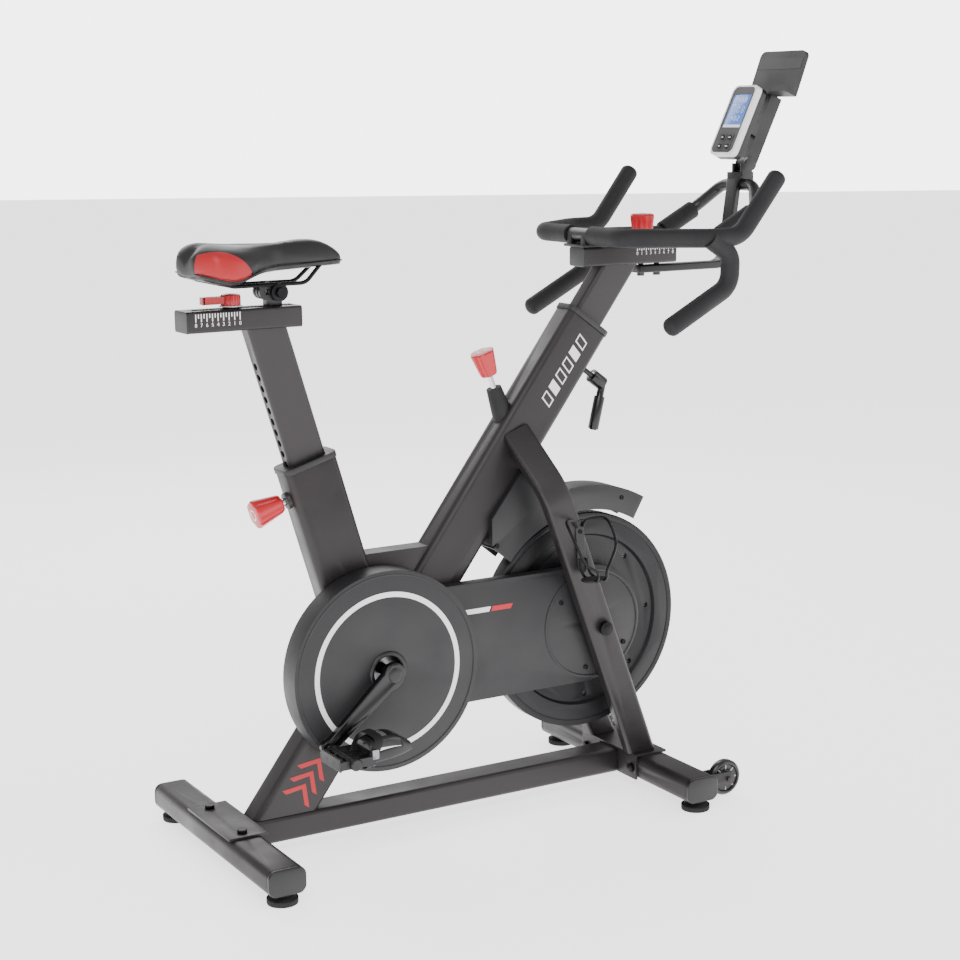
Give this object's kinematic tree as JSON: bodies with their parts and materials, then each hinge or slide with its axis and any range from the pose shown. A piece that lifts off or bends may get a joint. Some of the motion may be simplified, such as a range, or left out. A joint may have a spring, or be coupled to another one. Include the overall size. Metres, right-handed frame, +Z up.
{
  "type": "indoor spin bike",
  "caption": "Indoor cycling trainer with a belt-driven front flywheel, magnetic brake, sliding saddle and handlebar posts, toe-cage pedals, console and tablet tray.",
  "frame": {"origin": "middle of the footprint on the floor", "axes": "+X forward towards the handlebar, +Y to the rider's left, +Z up"},
  "size_m": [1.2542, 0.512, 1.3801],
  "materials": {
    "frame_paint": "satin powder coat",
    "black_plastic": "fine-grained moulding",
    "zinc_steel": "zinc plated",
    "chrome_steel": "polished",
    "crank_paint": "gloss black",
    "bar_paint": "satin black",
    "belt_rubber": "matt",
    "foot_rubber": "matt",
    "wheel_tyre": "smooth",
    "flywheel_iron": "painted",
    "magnet": "nickel plated",
    "red_plastic": "glossy",
    "saddle_cover": "synthetic leather, sewn",
    "foam_grip": "foamed sleeve",
    "screen_glass": "clear window",
    "button_rubber": "soft"
  },
  "bodies": {
    "frame": {"rear_stabiliser": "frame_paint", "front_stabiliser": "frame_paint", "stabiliser_end_caps": "black_plastic", "base_beam": "frame_paint", "mount_plates": "frame_paint", "base_bolts": "zinc_steel", "rear_post": "frame_paint", "seat_tube": "frame_paint", "main_tube": "frame_paint", "bottom_bracket": "frame_paint", "fork_leg_right": "frame_paint", "fork_leg_left": "frame_paint", "tube_collars": "black_plastic", "guard_right": "black_plastic", "guard_left": "black_plastic", "bottle_cage": "black_plastic", "brake_cover": "black_plastic", "resistance_boot": "black_plastic", "bearings": "zinc_steel", "flywheel_axle": "zinc_steel", "drive_belt": "belt_rubber"},
    "rear_foot_right": {"rear_foot_right": "foot_rubber"},
    "rear_foot_left": {"rear_foot_left": "foot_rubber"},
    "front_foot_right": {"front_foot_right": "foot_rubber"},
    "front_foot_left": {"front_foot_left": "foot_rubber"},
    "transport_wheel_right": {"transport_wheel_right": "wheel_tyre"},
    "transport_wheel_left": {"transport_wheel_left": "wheel_tyre"},
    "flywheel": {"flywheel": "flywheel_iron", "flywheel_pulley": "zinc_steel"},
    "crank": {"crank_axle": "zinc_steel", "crank_pulley": "zinc_steel", "crank_arm_right": "crank_paint", "crank_arm_left": "crank_paint"},
    "pedal_right": {"pedal_right": "black_plastic", "toe_cage_right": "black_plastic"},
    "pedal_left": {"pedal_left": "black_plastic", "toe_cage_left": "black_plastic"},
    "magnet_bracket": {"magnet_bracket": "zinc_steel", "brake_magnets": "magnet"},
    "resistance_stem": {"resistance_stem": "chrome_steel"},
    "resistance_knob": {"resistance_knob": "red_plastic"},
    "seat_post": {"seat_post": "frame_paint"},
    "seat_slider": {"seat_slider": "frame_paint"},
    "saddle": {"saddle_cushion": "saddle_cover", "saddle_rails": "zinc_steel"},
    "seat_lever": {"seat_lever": "red_plastic"},
    "seat_pin_knob": {"seat_pin_knob": "red_plastic"},
    "handlebar_post": {"handlebar_post": "frame_paint"},
    "handlebar": {"handlebar_frame": "bar_paint", "bar_foam": "foam_grip", "console_bracket": "bar_paint"},
    "handlebar_knob": {"handlebar_knob": "red_plastic"},
    "clamp_lever": {"clamp_lever": "crank_paint"},
    "console": {"console_case": "black_plastic", "console_screen": "screen_glass", "tablet_holder": "black_plastic"},
    "console_button_1": {"console_button_1": "button_rubber"},
    "console_button_2": {"console_button_2": "button_rubber"},
    "console_button_3": {"console_button_3": "button_rubber"},
    "console_button_4": {"console_button_4": "button_rubber"}
  },
  "joints": [
    {"name": "rear_foot_right_turn", "type": "hinge", "parent": "frame", "child": "rear_foot_right", "pos_m": [-0.58312, -0.23, 0], "axis": [0, 0, 1], "range_deg": [-180, 180]},
    {"name": "rear_foot_left_turn", "type": "hinge", "parent": "frame", "child": "rear_foot_left", "pos_m": [-0.58312, 0.23, 0], "axis": [0, 0, 1], "range_deg": [-180, 180]},
    {"name": "front_foot_right_turn", "type": "hinge", "parent": "frame", "child": "front_foot_right", "pos_m": [0.25488, -0.23, 0], "axis": [0, 0, 1], "range_deg": [-180, 180]},
    {"name": "front_foot_left_turn", "type": "hinge", "parent": "frame", "child": "front_foot_left", "pos_m": [0.25488, 0.23, 0], "axis": [0, 0, 1], "range_deg": [-180, 180]},
    {"name": "transport_wheel_right_spin", "type": "hinge", "parent": "frame", "child": "transport_wheel_right", "pos_m": [0.33988, -0.203, 0.038], "axis": [0, 1, 0], "continuous": true},
    {"name": "transport_wheel_left_spin", "type": "hinge", "parent": "frame", "child": "transport_wheel_left", "pos_m": [0.33988, 0.203, 0.038], "axis": [0, 1, 0], "continuous": true},
    {"name": "flywheel_spin", "type": "hinge", "parent": "frame", "child": "flywheel", "pos_m": [0.13789, 0, 0.333], "axis": [0, 1, 0], "continuous": true},
    {"name": "crank_spin", "type": "hinge", "parent": "frame", "child": "crank", "pos_m": [-0.30312, 0, 0.3135], "axis": [0, 1, 0], "continuous": true},
    {"name": "pedal_right_spin", "type": "hinge", "parent": "crank", "child": "pedal_right", "pos_m": [-0.43142, -0.165, 0.20197], "axis": [0, 1, 0], "continuous": true},
    {"name": "pedal_left_spin", "type": "hinge", "parent": "crank", "child": "pedal_left", "pos_m": [-0.17481, 0.165, 0.42503], "axis": [0, 1, 0], "continuous": true},
    {"name": "magnet_bracket_swing", "type": "hinge", "parent": "frame", "child": "magnet_bracket", "pos_m": [0.20834, 0, 0.54984], "axis": [0, 1, 0], "range_deg": [-1, 0.1]},
    {"name": "brake_push", "type": "slide", "parent": "frame", "child": "resistance_stem", "axis": [-0.3404, 0, 0.9403], "range_m": [-0.008, 0], "stiffness_N_per_m": 1500},
    {"name": "resistance_knob_turn", "type": "hinge", "parent": "resistance_stem", "child": "resistance_knob", "pos_m": [-0.03612, 0, 0.786], "axis": [-0.3404, 0, 0.9403], "range_deg": [0, 720]},
    {"name": "seat_height", "type": "slide", "parent": "frame", "child": "seat_post", "axis": [-0.284, 0, 0.9588], "range_m": [-0.16, 0.06]},
    {"name": "seat_fore_aft", "type": "slide", "parent": "seat_post", "child": "seat_slider", "axis": [1, 0, 0], "range_m": [-0.06, 0.02]},
    {"name": "saddle_tilt", "type": "hinge", "parent": "seat_slider", "child": "saddle", "pos_m": [-0.46411, 0, 0.98], "axis": [0, 1, 0], "range_deg": [-6, 6]},
    {"name": "seat_lever_turn", "type": "hinge", "parent": "seat_slider", "child": "seat_lever", "pos_m": [-0.54112, 0, 0.96], "axis": [0, 0, 1], "range_deg": [-90, 90]},
    {"name": "seat_pin_pull", "type": "slide", "parent": "frame", "child": "seat_pin_knob", "axis": [-0.9588, 0, -0.284], "range_m": [-0.008, 0.012]},
    {"name": "handlebar_height", "type": "slide", "parent": "frame", "child": "handlebar_post", "axis": [0.5934, 0, 0.8049], "range_m": [-0.06, 0.06]},
    {"name": "handlebar_fore_aft", "type": "slide", "parent": "handlebar_post", "child": "handlebar", "axis": [1, 0, 0], "range_m": [0, 0.08]},
    {"name": "handlebar_knob_turn", "type": "hinge", "parent": "handlebar_post", "child": "handlebar_knob", "pos_m": [0.28989, 0, 1.06], "axis": [0, 0, 1], "range_deg": [-180, 180]},
    {"name": "clamp_lever_turn", "type": "hinge", "parent": "frame", "child": "clamp_lever", "pos_m": [0.16689, 0, 0.796], "axis": [0.8049, 0, -0.5934], "range_deg": [-90, 90]},
    {"name": "console_tilt", "type": "hinge", "parent": "handlebar", "child": "console", "pos_m": [0.52989, 0, 1.169], "axis": [0, 1, 0], "range_deg": [-20, 15]},
    {"name": "console_button_1_press", "type": "slide", "parent": "console", "child": "console_button_1", "axis": [0.9003, 0, -0.4352], "range_m": [0, 0.0015], "stiffness_N_per_m": 250},
    {"name": "console_button_2_press", "type": "slide", "parent": "console", "child": "console_button_2", "axis": [0.9003, 0, -0.4352], "range_m": [0, 0.0015], "stiffness_N_per_m": 250},
    {"name": "console_button_3_press", "type": "slide", "parent": "console", "child": "console_button_3", "axis": [0.9003, 0, -0.4352], "range_m": [0, 0.0015], "stiffness_N_per_m": 250},
    {"name": "console_button_4_press", "type": "slide", "parent": "console", "child": "console_button_4", "axis": [0.9003, 0, -0.4352], "range_m": [0, 0.0015], "stiffness_N_per_m": 250}
  ],
  "couplings": [
    {"joint": "crank_spin", "follows": "flywheel_spin", "ratio": 0.31548},
    {"joint": "magnet_bracket_swing", "follows": "resistance_knob_turn", "ratio": -0.0013889}
  ]
}
